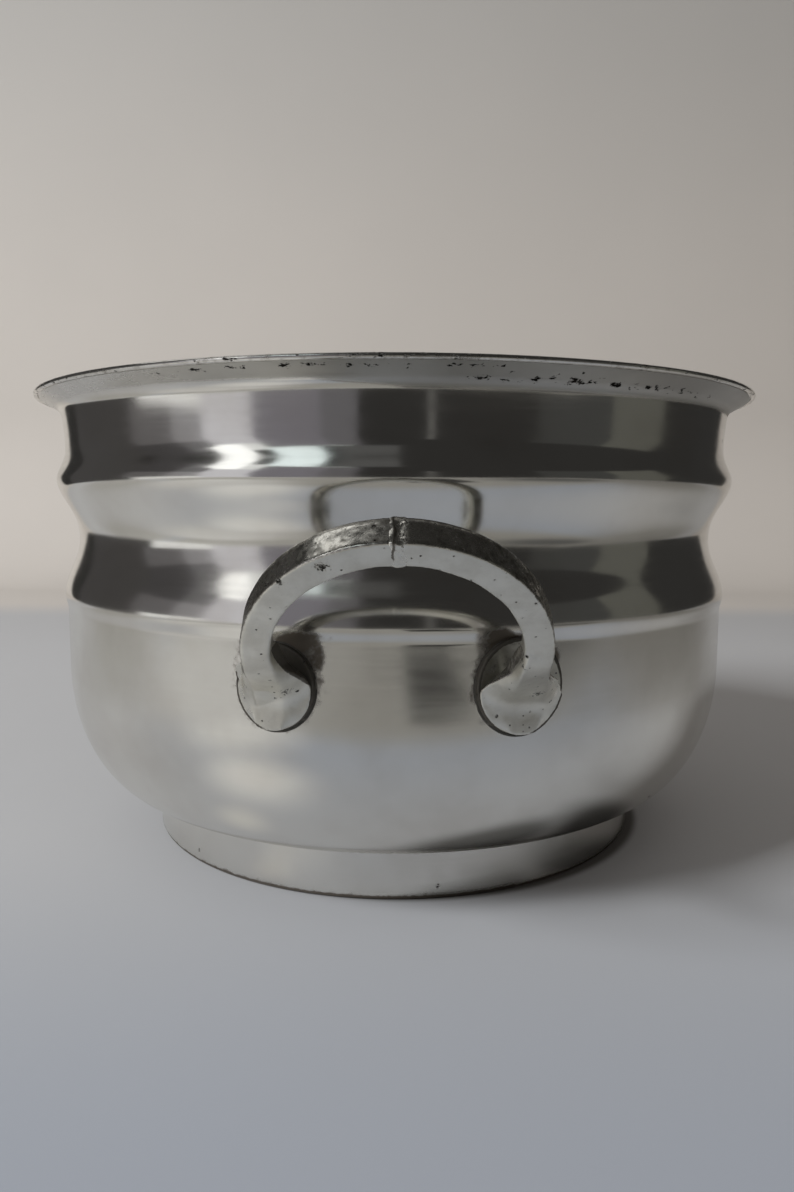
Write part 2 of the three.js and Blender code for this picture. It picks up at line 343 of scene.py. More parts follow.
def bowl_outline():
    """The outer face of the sheet, from the middle of the base to the edge of the lip."""
    base = (0, FOOT_HEIGHT)
    belly_top = (BODY_RADIUS, BELLY_TOP)
    centre = (BODY_RADIUS - TURN_REACH, FOOT_HEIGHT + TURN_HEIGHT)
    turn = arc(centre, (TURN_REACH, TURN_HEIGHT), -RIGHT_ANGLE, TURN_SEGMENTS)
    points = [base, *straight(base, turn[0], BASE_RINGS), *turn[1:]]
    points += straight(turn[-1], belly_top, WAVE_SEGMENTS)
    points += half_wave(belly_top, LOWER_RIDGE)
    points += half_wave(LOWER_RIDGE, LOWER_WAIST)
    points += half_wave(LOWER_WAIST, UPPER_RIDGE, RIDGE_RISE_SKEW)
    points += half_wave(UPPER_RIDGE, UPPER_WAIST, RIDGE_FALL_SKEW)
    points += neck()
    points += cove(points[-1])
    lip_radius = RIM_RADIUS - 2 * RIM_WIRE_RADIUS
    lip_height = points[-1][1] + (lip_radius - points[-1][0]) / math.tan(LIP_LEAN)
    return points + straight(points[-1], (lip_radius, lip_height), COVE_SEGMENTS)


def offset(points, distance):
    """An outline moved to the left of its direction of travel."""
    places = np.array(points)
    steps = np.diff(places, axis=0)
    steps /= np.linalg.norm(steps, axis=1)[:, None]
    lefts = np.stack([-steps[:, 1], steps[:, 0]], axis=1)
    before = np.vstack([lefts[:1], lefts])
    middle = before + np.vstack([lefts, lefts[-1:]])
    middle /= np.linalg.norm(middle, axis=1)[:, None]
    moved = places + distance * middle / (middle * before).sum(axis=1)[:, None]
    moved[0, 0] = places[0, 0]
    return [tuple(point) for point in moved]


# Meshes

def revolve(outline, segments):
    """Vertices and faces of a closed outline turned about the axis. Points on the axis are single."""
    vertices = []
    rings = []
    for radius, height in outline:
        start = len(vertices)
        if radius < TINY:
            vertices.append((0, 0, height))
            rings.append([start] * segments)
            continue
        for i in range(segments):
            angle = FULL_TURN * i / segments
            vertices.append((radius * math.sin(angle), -radius * math.cos(angle), height))
        rings.append(list(range(start, start + segments)))
    faces = []
    for ring, above in zip(rings, rings[1:] + rings[:1]):
        for i in range(segments):
            j = (i + 1) % segments
            face = list(dict.fromkeys([ring[i], ring[j], above[j], above[i]]))
            if len(face) > 2:
                faces.append(face)
    return np.array(vertices, float), faces


def sweep(rings):
    """Vertices and faces of a closed bar through rings that have the same number of points."""
    count = len(rings[0])
    vertices = np.array([point for ring in rings for point in ring], float)
    faces = [list(range(count))[::-1]]
    for k in range(len(rings) - 1):
        for i in range(count):
            a, b = k * count + i, k * count + (i + 1) % count
            faces.append([a, b, b + count, a + count])
    last = (len(rings) - 1) * count
    faces.append([last + i for i in range(count)])
    return vertices, faces


def mesh_of(name, vertices, faces):
    """A mesh in millimetres with its faces pointing out."""
    mesh = bpy.data.meshes.new(name)
    mesh.from_pydata([tuple(v) for v in vertices], [], faces)
    shape = bmesh.new()
    shape.from_mesh(mesh)
    bmesh.ops.recalc_face_normals(shape, faces=shape.faces)
    shape.to_mesh(mesh)
    shape.free()
    return mesh


def joined(name, *meshes):
    """One mesh that holds several."""
    shape = bmesh.new()
    for mesh in meshes:
        shape.from_mesh(mesh)
    whole = bpy.data.meshes.new(name)
    shape.to_mesh(whole)
    shape.free()
    return whole


def placed(name, data):
    """A new object in the scene."""
    thing = bpy.data.objects.new(name, data)
    bpy.context.scene.collection.objects.link(thing)
    return thing


def cast(mesh, voxel, smoothing):
    """The mesh as one skin with softened edges, as a casting has: voxel remesh, then smoothing."""
    holder = placed(mesh.name, mesh)
    remesh = holder.modifiers.new("skin", "REMESH")
    remesh.mode = "VOXEL"
    remesh.voxel_size = voxel
    smooth = holder.modifiers.new("soften", "SMOOTH")
    smooth.factor = 0.5
    smooth.iterations = smoothing
    graph = bpy.context.evaluated_depsgraph_get()
    result = bpy.data.meshes.new_from_object(holder.evaluated_get(graph))
    result.name = mesh.name
    bpy.data.objects.remove(holder)
    return result


def transformed(mesh, matrix):
    mesh.transform(matrix)
    if matrix.determinant() < 0:
        mesh.flip_normals()
    return mesh


def coordinates(mesh):
    places = np.zeros(len(mesh.vertices) * 3)
    mesh.vertices.foreach_get("co", places)
    return places.reshape(-1, 3)


def set_coordinates(mesh, places):
    mesh.vertices.foreach_set("co", places.astype(np.float32).ravel())
    mesh.update()


def normals_of(mesh):
    return np.array([v.normal for v in mesh.vertices])


def seen_from(basis, places):
    """Places in the frame that a matrix stands for."""
    to_basis = basis.inverted()
    return places @ np.array(to_basis.to_3x3()).T + np.array(to_basis.translation)


def roughen(mesh, seed, bumps):
    """Moves each vertex along its normal by smooth noise; bumps maps a size to a depth."""
    places = coordinates(mesh)
    shift = np.zeros(len(places))
    for size, depth in bumps.items():
        origin = Vector((seed * BUMP_SPREAD[0], seed * BUMP_SPREAD[1], size))
        shift += depth * np.array([noise.noise(Vector(p) / size + origin) for p in places])
    set_coordinates(mesh, places + normals_of(mesh) * shift[:, None])


def paint(mesh, **looks):
    """Stores named values, each one value or one for each vertex, for the materials to read."""
    for name, look in looks.items():
        values = np.zeros(len(mesh.vertices)) + look
        layer = mesh.attributes.new(name, "FLOAT", "POINT")
        layer.data.foreach_set("value", values.astype(np.float32))


def add_piece(mesh, material, node, sharp_angle=SHEET_SHARPNESS):
    """Turns a mesh in millimetres into a piece of the cup that stands for a CAD node."""
    mesh.transform(Matrix.Scale(MM, 4))
    mesh.shade_smooth()
    mesh.set_sharp_from_angle(angle=math.radians(sharp_angle))
    mesh.materials.append(material)
    piece = placed(mesh.name, mesh)
    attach(piece, "root")
    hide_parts(node)


# Materials

class Steps:
    """Adds the nodes of one material in order."""

    def __init__(self, owner):
        owner.use_nodes = True
        self.owner = owner
        self.tree = owner.node_tree
        self.tree.nodes.clear()

    def add(self, kind, inputs=None, **settings):
        node = self.tree.nodes.new(kind)
        for key, value in settings.items():
            setattr(node, key, value)
        for key, value in (inputs or {}).items():
            if isinstance(value, bpy.types.NodeSocket):
                self.tree.links.new(value, node.inputs[key])
            else:
                node.inputs[key].default_value = value
        return node

    def place(self, stretch=(1, 1, 1)):
        """The point on the object in millimetres, stretched along each axis."""
        source = self.add("ShaderNodeTexCoord")
        scale = [s / MM for s in stretch]
        mapping = self.add("ShaderNodeMapping", {"Vector": source.outputs["Object"], "Scale": scale})
        return mapping.outputs["Vector"]

    def noise(self, vector, scale, detail=2.0, roughness=0.5):
        inputs = {"Vector": vector, "Scale": scale, "Detail": detail, "Roughness": roughness}
        return self.add("ShaderNodeTexNoise", inputs).outputs["Fac"]

    def spots(self, vector, scale, radius, share):
        """Round spots: 1 inside, 0 outside. Only a share of the cells holds one."""
        cells = self.add("ShaderNodeTexVoronoi", {"Vector": vector, "Scale": scale})
        near = self.span(cells.outputs["Distance"], radius, radius * SPOT_CORE)
        pick = self.add("ShaderNodeSeparateColor", {"Color": cells.outputs["Color"]}).outputs["Red"]
        return self.maths("MULTIPLY", near, self.maths("LESS_THAN", pick, share))

    def span(self, value, low, high, to_low=0.0, to_high=1.0):
        """The value mapped smoothly from one range to another, and held at its ends."""
        inputs = {"Value": value, "From Min": low, "From Max": high, "To Min": to_low, "To Max": to_high}
        ranged = self.add("ShaderNodeMapRange", inputs, interpolation_type="SMOOTHSTEP")
        return ranged.outputs["Result"]

    def patch(self, point, middle, reach, softness):
        """A soft round patch on the table: 1 in its middle, 0 past its reach."""
        centre = (middle[0] * MM, middle[1] * MM, 0)
        scale = (1 / (reach[0] * MM), 1 / (reach[1] * MM), 0)
        moved = self.add("ShaderNodeVectorMath", {0: point, 1: centre}, operation="SUBTRACT")
        scaled = self.add("ShaderNodeVectorMath", {0: moved.outputs[0], 1: scale}, operation="MULTIPLY")
        away = self.add("ShaderNodeVectorMath", {0: scaled.outputs[0]}, operation="LENGTH")
        return self.span(away.outputs["Value"], 1 - softness, 1.0, 1.0, 0.0)

    def maths(self, operation, first, second=0.0):
        return self.add("ShaderNodeMath", {0: first, 1: second}, operation=operation).outputs[0]

    def plus(self, value, *terms):
        """The value plus terms, each with its weight, held between 0 and 1."""
        for term, weight in terms:
            inputs = {0: term, 1: weight, 2: value}
            node = self.add("ShaderNodeMath", inputs, operation="MULTIPLY_ADD", use_clamp=True)
            value = node.outputs[0]
        return value

    def mix(self, share, first, second):
        inputs = {0: share, 6: first, 7: second}
        return self.add("ShaderNodeMix", inputs, data_type="RGBA").outputs[2]

    def blend(self, share, first, second):
        """One shader that gives way to another."""
        return self.add("ShaderNodeMixShader", {0: share, 1: first, 2: second}).outputs[0]

    def painted(self, name):
        return self.add("ShaderNodeAttribute", attribute_name=name).outputs["Fac"]

    def bump(self, *layers):
        """Bumps on top of each other: the depth in millimetres of each 1. A negative one goes inwards."""
        inputs = {"Strength": 1.0}
        for height, depth in layers:
            inputs.update({"Height": height, "Distance": abs(depth) * MM})
            inputs["Normal"] = self.add("ShaderNodeBump", inputs, invert=depth < 0).outputs["Normal"]
        return inputs["Normal"]

    def metal(self, colour, roughness, normal, metallic=1.0):
        inputs = {"Base Color": colour, "Roughness": roughness, "Metallic": metallic, "Normal": normal}
        shader = self.add("ShaderNodeBsdfPrincipled", inputs)
        self.add("ShaderNodeOutputMaterial", {"Surface": shader.outputs["BSDF"]})
        return self.owner


CLEAN = (0.80, 0.788, 0.745, 1)
DULL = (0.71, 0.688, 0.64, 1)
WEAR_AND_SHADE_COLOUR = (0.42, 0.41, 0.385, 1)
TARNISH_AND_SHADE_COLOUR = (0.24, 0.21, 0.175, 1)
PIT = (0.035, 0.032, 0.028, 1)
CAST_CLEAN = (0.77, 0.755, 0.69, 1)
CAST_DULL = (0.65, 0.63, 0.565, 1)
CAST_TARNISH_AND_SHADE_COLOUR = (0.19, 0.175, 0.15, 1)
SOLDER_DARK = (0.09, 0.084, 0.074, 1)
SOLDER_RUBBED = (0.24, 0.225, 0.195, 1)
# How much of a spot's radius is at full strength
SPOT_CORE = 0.4
# Stretch of the point for level streaks and for level runs of pits
LEVEL_STREAKS = (0.05, 0.05, 1)
LEVEL_RUNS = (0.4, 0.4, 1)


def silver_sheet():
    """Polished plate on rolled sheet: fine level streaks, soft smudges, sparse pits."""
    steps = Steps(bpy.data.materials.new("silver_sheet"))
    here = steps.place()
    streaks = steps.noise(steps.place(LEVEL_STREAKS), scale=1.5, detail=4, roughness=0.6)
    smudges = steps.noise(here, scale=0.07, detail=4, roughness=0.55)
    ripple = steps.noise(here, scale=0.11, detail=1)
    grain = steps.noise(here, scale=2.2)
    blotches = steps.noise(here, scale=0.9, detail=4, roughness=0.6)
    ragged = steps.noise(here, scale=1.3, detail=3, roughness=0.7)
    runs = steps.noise(steps.place(LEVEL_RUNS), scale=1.7, detail=4, roughness=0.7)
    satin, worn = steps.painted("satin"), steps.painted("worn")

    # Besides real tarnishing and wear, these painted values carry painted shade round the pads, by the
    # front pads and above the foot.
    broken = steps.span(steps.maths("ADD", steps.painted("tarnish"), blotches), 0.8, 1.25)
    spots = steps.spots(here, scale=0.16, radius=0.07, share=0.2)
    sparse = steps.maths("MULTIPLY", spots, steps.span(ragged, 0.46, 0.54))
    crowded = steps.span(steps.plus(runs, (steps.painted("pitting"), 0.26)), 0.79, 0.83)
    pits = steps.maths("MAXIMUM", sparse, crowded)

    colour = steps.mix(steps.span(smudges, 0.35, 0.75), CLEAN, DULL)
    for share, coat in ((worn, WEAR_AND_SHADE_COLOUR), (broken, TARNISH_AND_SHADE_COLOUR), (pits, PIT)):
        colour = steps.mix(share, colour, coat)
    roughness = steps.plus(
        steps.span(smudges, 0.3, 0.7, 0.09, 0.14), (steps.span(streaks, 0.3, 0.7), 0.04),
        (satin, 0.055), (worn, 0.4), (broken, 0.3), (pits, 0.4))
    normal = steps.bump((ripple, 0.04), (streaks, 0.0006), (grain, 0.0005), (pits, -0.06))
    return steps.metal(colour, roughness, normal)


def cast_silver():
    """Plate on castings: duller, uneven, pitted and tarnished, and darkened by painted shade in the
    corners at the pads and along the fans' edges.
    """
    steps = Steps(bpy.data.materials.new("cast_silver"))
    here = steps.place()
    smudges = steps.noise(here, scale=0.25, detail=4, roughness=0.6)
    grain = steps.noise(here, scale=1.1, detail=5, roughness=0.65)
    fine = steps.noise(here, scale=3.5, detail=3, roughness=0.6)

    large = steps.spots(here, scale=0.42, radius=0.13, share=0.35)
    small = steps.spots(here, scale=1.2, radius=0.2, share=0.3)
    sparse = steps.maths("MULTIPLY", steps.maths("MAXIMUM", large, small), steps.span(fine, 0.4, 0.55))
    scarred = steps.span(steps.plus(fine, (steps.painted("marks"), 0.37)), 0.68, 0.9)
    pits = steps.maths("MAXIMUM", sparse, scarred)
    # The painted value also carries painted shade in the corners at the pads and along the fans' edges.
    broken = steps.span(steps.maths("ADD", steps.painted("tarnish"), grain), 0.8, 1.2)

    colour = steps.mix(steps.span(smudges, 0.35, 0.7), CAST_CLEAN, CAST_DULL)
    for share, coat in ((broken, CAST_TARNISH_AND_SHADE_COLOUR), (pits, PIT)):
        colour = steps.mix(share, colour, coat)
    roughness = steps.plus(
        steps.span(grain, 0.3, 0.7, 0.12, 0.24), (steps.painted("satin"), 0.2), (broken, 0.3), (pits, 0.4))
    return steps.metal(colour, roughness, steps.bump((grain, 0.014), (fine, 0.002), (pits, -0.12)))


def solder():
    """Dull solder, tarnished dark and a little bright where it is rubbed."""
    steps = Steps(bpy.data.materials.new("solder"))
    here = steps.place()
    lumps = steps.noise(here, scale=1.4, detail=4, roughness=0.65)
    bare = steps.span(steps.noise(here, scale=0.7, detail=3), 0.58, 0.75)
    colour = steps.mix(bare, SOLDER_DARK, SOLDER_RUBBED)
    return steps.metal(colour, steps.span(lumps, 0.3, 0.7, 0.35, 0.6), steps.bump((lumps, 0.06)), 0.9)


# Places on the cup

class Seat(namedtuple("Seat", "place turn hand side")):
    """Where an arm and its pad are: the handle, its turn about the cup, the hand and its sign."""

    def node(self, part):
        return f"{self.place}_handle_{self.hand}_{part}"

    def shifts(self):
        """How far the pad is off its place, across and up, and its fan, up. The back handle is even."""
        return (*PAD_SHIFTS[self.side], FAN_SHIFTS[self.side]) if self.place == "front" else (0, 0, 0)


def pad_frame(side, turn, shift=0.0, sidestep=0.0):
    """Frame of a pad: its origin is on the wall and its +Z points straight out of the wall."""
    angle = math.asin((ARM_HALF_SPAN - PAD_INSET) / BODY_RADIUS)
    around = side * (angle + sidestep / BODY_RADIUS)
    outward = Vector((math.sin(around), -math.cos(around), 0))
    up = Vector((0, 0, 1))
    centre = outward * BODY_RADIUS + up * (PAD_HEIGHT + shift)
    basis = Matrix((up.cross(outward), up, outward)).transposed().to_4x4()
    return Matrix.Rotation(turn, 4, "Z") @ Matrix.Translation(centre) @ basis


def seated_frame(seat):
    """A pad's own frame, a little off its place as the hand that soldered it left it."""
    sidestep, shift, _ = seat.shifts()
    return pad_frame(seat.side, seat.turn, shift, sidestep) @ Matrix.Diagonal((1, PAD_STRETCH, 1, 1))


def pad_rim(seat):
    """A pad's outline in the frame of the fan on it: its centre across and up, and its half sizes."""
    sidestep, shift, fan_shift = seat.shifts()
    radius = PAD_RADII[seat.side] - FAN_INSET
    return sidestep, shift - fan_shift, radius, radius * PAD_STRETCH


def arch_frame(turn):
    """Frame of the arch: +X across, +Y up and out along the loop, +Z down and out."""
    along = Vector((0, -math.sin(HANDLE_LEAN), math.cos(HANDLE_LEAN)))
    front = Vector((0, -math.cos(HANDLE_LEAN), -math.sin(HANDLE_LEAN)))
    basis = Matrix((Vector((1, 0, 0)), along, front)).transposed().to_4x4()
    root = Vector((0, -(BODY_RADIUS + HANDLE_REACH), PAD_HEIGHT))
    return Matrix.Rotation(turn, 4, "Z") @ Matrix.Translation(root) @ basis


def arch_to_pad():
    """From the arch's frame to the frame of the pad of the +X arm."""
    return pad_frame(1, 0).inverted() @ arch_frame(0)


# Pieces of the bowl

def wavy(places, seed, depth):
    """Radial places with the slight waviness of a hand-finished wall."""
    draw = np.random.RandomState(seed)
    angle = np.arctan2(places[:, 0], -places[:, 1])
    radius = np.hypot(places[:, 0], places[:, 1])
    shift = np.zeros(len(places))
    for turns in WAVE_TURNS:
        phase, tilt, pitch = draw.uniform(0, FULL_TURN, 3)
        waves = np.cos(turns * angle + phase) * np.cos(places[:, 2] / (WAVE_LEAST_PITCH + pitch) + tilt)
        shift += depth * waves / math.sqrt(turns)
    grow = (radius + shift * np.clip(radius / BODY_RADIUS, 0, 1)) / np.maximum(radius, TINY)
    moved = places.copy()
    moved[:, :2] *= grow[:, None]
    return moved


def shade_and_smudge_share(places):
    """How much painted shade and smudging each point of the wall has by the front pads."""
    most = np.zeros(len(places))
    for across, height, reach, rise, strength in SHADE_AND_SMUDGES:
        away = ((places[:, 0] - across) / reach) ** 2 + ((places[:, 2] - height) / rise) ** 2
        most = np.maximum(most, strength * np.exp(-away) * (places[:, 1] < 0))
    return most


def pit_run(distance, around, place, reach, angle, half_width, least):
    """A line of pits round the lip, most crowded at one angle."""
    return bell(distance, place, reach) * lerp(least, 1, bell(around, angle, half_width, 4))


def bowl_tarnish(places, radius, shade_and_smudge):
    """Painted shade round the pads and above the foot seam, tarnished silver along the rim, and painted
    shade with some smudging by the front pads.
    """
    centres = [pad_frame(side, turn).translation for turn in HANDLE_TURNS.values() for side in (-1, 1)]
    nearest = np.min([np.linalg.norm(places - np.array(c), axis=1) for c in centres], axis=0)
    tarnish = halo(nearest - max(PAD_RADII.values()), *PAD_SHADE_HALO)
    tarnish += halo(np.abs(places[:, 2] - FOOT_HEIGHT), *SEAM_SHADE_HALO) * (radius > FOOT_RADIUS - 1)
    tarnish += halo(np.abs(radius - RIM_RADIUS), *RIM_HALO)
    return np.clip(tarnish + shade_and_smudge, 0, 1)


def bowl_wear_and_shade(places, radius, around, shade_and_smudge):
    """Wear on the lip and in the cove at the right, painted shade in the corner above the foot that
    deepens to the right, and wear with the painted shade and smudging by the front pads.
    """
    spread = ramp(around, *LIP_WEAR_SPREADS)
    on_lip = ramp(places[:, 2] - COVE_HEIGHT + spread, *LIP_WEAR_STARTS)
    above_foot = bell(places[:, 2] - FOOT_HEIGHT, *CORNER_SHADE_PLACE) * (radius > FOOT_RADIUS)
    worn = lerp(*LIP_WEAR, ramp(around, *LIP_WEAR_EASES)) * on_lip
    worn += lerp(*CORNER_SHADE, ramp(around, *CORNER_SHADE_EASES)) * above_foot
    return worn + SHADE_AND_SMUDGE_WEAR * shade_and_smudge


def turned(name, outline, waves):
    """A mesh turned about the axis, with the waviness of a seed and a depth."""
    vertices, faces = revolve(outline, ROUND_SEGMENTS)
    return mesh_of(name, wavy(vertices, *waves), faces)


def bowl_shell(material):
    outer = bowl_outline()
    mesh = turned("bowl_shell_fine", outer + offset(outer, WALL)[::-1], BOWL_WAVES)
    places = coordinates(mesh)
    radius = np.hypot(places[:, 0], places[:, 1])
    above_cove = places[:, 2] - COVE_HEIGHT
    around = np.degrees(np.arctan2(places[:, 0], -places[:, 1]))
    shade_and_smudge = shade_and_smudge_share(places)
    pitting = pit_run(radius - RIM_RADIUS, around, *RIM_PITS) + pit_run(above_cove, around, *COVE_PITS)
    paint(
        mesh,
        tarnish=bowl_tarnish(places, radius, shade_and_smudge),
        pitting=np.clip(pitting * ramp(above_cove, 0, 1), 0, 1),
        satin=ramp(places[:, 2], *SATIN_FADE),
        worn=bowl_wear_and_shade(places, radius, around, shade_and_smudge))
    add_piece(mesh, material, "bowl_shell")


def rim_wire(material):
    centre = (RIM_RADIUS - RIM_WIRE_RADIUS, bowl_outline()[-1][1] + RIM_WIRE_LIFT)
    outline = arc(centre, (RIM_WIRE_RADIUS, RIM_WIRE_RADIUS), 0, WIRE_SEGMENTS, FULL_TURN)
    mesh = turned("rim_wire_fine", outline[:-1], BOWL_WAVES)
    paint(mesh, tarnish=0.35, pitting=0.7, satin=0, worn=0)
    add_piece(mesh, material, "rim_wire")


def foot_ring(material):
    inside = FOOT_RADIUS - FOOT_WALL
    outline = [(inside - FOOT_FLARE, FOOT_HEIGHT), (inside, FOOT_EDGE / 2), (inside + FOOT_EDGE / 2, 0)]
    outline += arc((FOOT_RADIUS - FOOT_EDGE, FOOT_EDGE), (FOOT_EDGE, FOOT_EDGE), -RIGHT_ANGLE)
    for t in shares(WAVE_SEGMENTS, 1):
        radius = FOOT_RADIUS - FOOT_FLARE * t - FOOT_HOLLOW * math.sin(math.pi * t)
        outline.append((radius, lerp(FOOT_EDGE, FOOT_HEIGHT, t)))
    mesh = turned("foot_ring_fine", outline, FOOT_WAVES)
    height = coordinates(mesh)[:, 2]
    # Painted shade: a dark line at the bottom edge where the foot meets the table, and darkening at the
    # top under the belly.
    tarnish = halo(height - TABLE_SHADE_START, *TABLE_SHADE_HALO)
    tarnish += halo(np.abs(height - FOOT_HEIGHT), *FOOT_TOP_SHADE_HALO)
    paint(mesh, tarnish=np.clip(tarnish, 0, 1), pitting=0, satin=1.6, worn=0)
    add_piece(mesh, material, "foot_ring")


def foot_seam(material):
    corner = FOOT_RADIUS - FOOT_FLARE
    inside = corner - FOOT_HOLLOW
    low = FOOT_HEIGHT - SEAM_SIZE
    outline = [(inside, FOOT_HEIGHT), (inside, low)]
    outline += arc((corner + SEAM_SIZE, low), (-SEAM_SIZE, SEAM_SIZE), 0)
    mesh = mesh_of("foot_seam_fine", *revolve(outline, ROUND_SEGMENTS))
    roughen(mesh, SEAM_SEED, SEAM_BUMPS)
    add_piece(mesh, material, "foot_solder_seam")


# Arms

def arm_section(half_width, front, back):
    """Flat in front with crisp edges, round behind: points across and through the arm."""
    round_back = min(ARM_BACK_RADIUS, (front + back) * ARM_BACK_SHARE)
    corners = [
        (half_width, front, ARM_FRONT_RADIUS), (-half_width, front, ARM_FRONT_RADIUS),
        (-half_width, -back, round_back), (half_width, -back, round_back),
    ]
    points = []
    for quarter, (x, y, radius) in enumerate(corners):
        centre = (x - math.copysign(radius, x), y - radius if quarter < 2 else y + radius)
        points += arc(centre, (radius, radius), RIGHT_ANGLE * quarter)
    return points


def arch_ring(angle, section):
    """The section at an angle of the arch, measured from the leg on the +X side."""
    x = ARM_HALF_SPAN * math.cos(angle)
    y = LEG_LENGTH + ARCH_RISE * math.sin(angle)
    normal = Vector((ARCH_RISE * math.cos(angle), ARM_HALF_SPAN * math.sin(angle))).normalized()
    return [Vector((x + a * normal.x, y + a * normal.y, b)) for a, b in section]


def leg_front(along):
    """How far the front face is from the middle of the arm: the arm thins towards its root."""
    share = (ARM_ROOT_START - along) / (ARM_ROOT_START - ARM_ROOT_END)
    return ARM_DEPTH / 2 - ARM_ROOT_THINNING * max(share, 0) ** ARM_ROOT_EASE


def leg_ring(along):
    section = arm_section(ARM_WIDTH / 2, leg_front(along), ARM_DEPTH / 2)
    return [Vector((ARM_HALF_SPAN + a, along, b)) for a, b in section]


def root_ring():
    """The foot of the leg, cut off along the pad: each edge of the leg runs down to the pad."""
    to_pad = arch_to_pad()
    step = (to_pad.to_3x3() @ Vector((0, 1, 0))).z
    ring = []
    for point in leg_ring(0):
        height = (to_pad @ point).z
        ring.append(point + Vector((0, (ARM_ROOT_DEPTH - height) / step, 0)))
    return ring


def arm_bar():
    """The bar of the +X arm in the arch's frame, from the pad to the middle of the arch."""
    section = arm_section(ARM_WIDTH / 2, ARM_DEPTH / 2, ARM_DEPTH / 2)
    leg = [leg_ring(LEG_LENGTH * t) for t in shares(WAVE_SEGMENTS)[:-1]]
    half_arch = [arch_ring(RIGHT_ANGLE * t, section) for t in shares(ARCH_SEGMENTS)]
    return sweep([root_ring(), *leg, *half_arch])


def front_line():
    """Where the front face runs over the pad: heights up the pad and distances out of the wall."""
    points = []
    for t in shares(FAN_STATIONS):
        along = lerp(ARM_ROOT_END - FAN_MARGIN, ARM_ROOT_START + FAN_MARGIN, t)
        points.append(arch_to_pad() @ Vector((ARM_HALF_SPAN, along, leg_front(along))))
    return [point.y for point in points], [point.z for point in points]


def soft_max(a, b, blend):
    return (a + b + math.sqrt((a - b) ** 2 + blend ** 2)) / 2


def rim_across(rim, up, side):
    """How far across the pad's outline is on one side at a height up the pad."""
    across, middle, half_width, half_height = rim
    share = (up - middle) / half_height
    return across + side * half_width * math.sqrt(max(1 - share * share, FAN_LEAST))


def edge_at(edge, low, up, rim):
    """Place across the pad and out of the wall of a fan edge at a height up the pad."""
    side = math.copysign(1, edge[-1][0])
    if up <= low:
        return rim_across(rim, up, side), FAN_TOP
    places = np.array([(rim_across(rim, low, side), low, FAN_TOP)] + edge[::-1])
    return [float(np.interp(up, places[:, 1], places[:, axis])) for axis in (0, 2)]


def fan_ring(up, line, rim, side):
    """A section across the fan at one height up the pad of the +X arm."""
    front = soft_max(float(np.interp(up, *line)), FAN_TOP, FAN_BLEND)
    front -= FAN_SINK_SLOPE * max(up - FAN_SINKS, 0)
    to_pad = arch_to_pad()
    lean = to_pad.to_3x3() @ Vector((1, 0, 0))
    slant = lean.z / lean.x
    middle = to_pad @ Vector((ARM_HALF_SPAN, 0, 0))
    centre = middle.x + slant * (middle.z - front)
    half = ARM_WIDTH / 2 / lean.x
    inner, inner_top = edge_at(FAN_INNER_EDGE, FAN_INNER_LOW, up, rim)
    outer, outer_top = edge_at(FAN_OUTER_EDGES[side], FAN_OUTER_LOWS[side], up, rim)
    inner_fold = max(centre - half, inner + FAN_GAP)
    outer_fold = min(centre + half, outer - FAN_GAP)
    base = max(ARM_ROOT_DEPTH, FAN_BASE_SLOPE * up + FAN_BASE_START)
    points = [(inner + slant * (base - ARM_ROOT_DEPTH) / 2, base)]
    for t, rise in FAN_RISE:
        points.append((lerp(inner, inner_fold, t), lerp(min(inner_top, front), front, rise)))
    for t, rise in reversed(FAN_RISE):
        points.append((lerp(outer, outer_fold, t), lerp(min(outer_top, front), front, rise)))
    points.append((outer, base))
    return [Vector((x, up, z)) for x, z in points]


def eased(rows, reach):
    """Each row becomes the mean of its neighbours on both sides."""
    padded = np.pad(rows, ((reach, reach), (0, 0)), mode="edge")
    return np.mean([padded[i:i + len(rows)] for i in range(2 * reach + 1)], axis=0)


def fan_body(rim, side):
    """The +X arm's foot in its pad's frame: the front face spreads and bends down over the pad."""
    line = front_line()
    lowest = rim[1] - rim[3] + FAN_GAP
    ups = [lerp(lowest, FAN_REACH, t ** FAN_CROWDING) for t in shares(FAN_STATIONS)]
    rings = np.array([fan_ring(up, line, rim, side) for up in ups])
    for _ in range(2):
        rings[:, 1:-1, 2] = eased(rings[:, 1:-1, 2], FAN_EASE)
    return sweep(rings)


def above_arch(places):
    """How far each place in the arch's frame is towards the top side of the loop's crown."""
    return ramp(places[:, 1] - LEG_LENGTH - ARCH_RISE, 0, ARM_WIDTH / 2)


def notched(places):
    """Places in the arch's frame with the shallow dip that the joint leaves in the top of the crown."""
    moved = places.copy()
    moved[:, 1] -= NOTCH_DEPTH * bell(places[:, 0], NOTCH_PLACE, NOTCH_WIDTH) * above_arch(places)
    return moved


def arm_mesh(seat):
    """One arm with its fan, before its handle is turned. The -X arm is the mirror image of the other."""
    mirror = Matrix.Diagonal((seat.side, 1, 1, 1))
    arch = arch_frame(0)
    bar = transformed(mesh_of("bar", *arm_bar()), mirror @ arch)
    fan = mesh_of("fan", *fan_body(pad_rim(seat), seat.side))
    fan = transformed(fan, mirror @ pad_frame(1, 0, seat.shifts()[2]))
    mesh = cast(joined(seat.node("arm_fine"), bar, fan), CAST_VOXEL, CAST_SMOOTHING)
    seed = list(HANDLE_TURNS).index(seat.place) * 2 + seat.side + ARM_SEED
    roughen(mesh, seed, ARM_BUMPS)
    mesh.transform(arch.inverted())
    set_coordinates(mesh, notched(coordinates(mesh)))
    mesh.transform(arch)
    return mesh


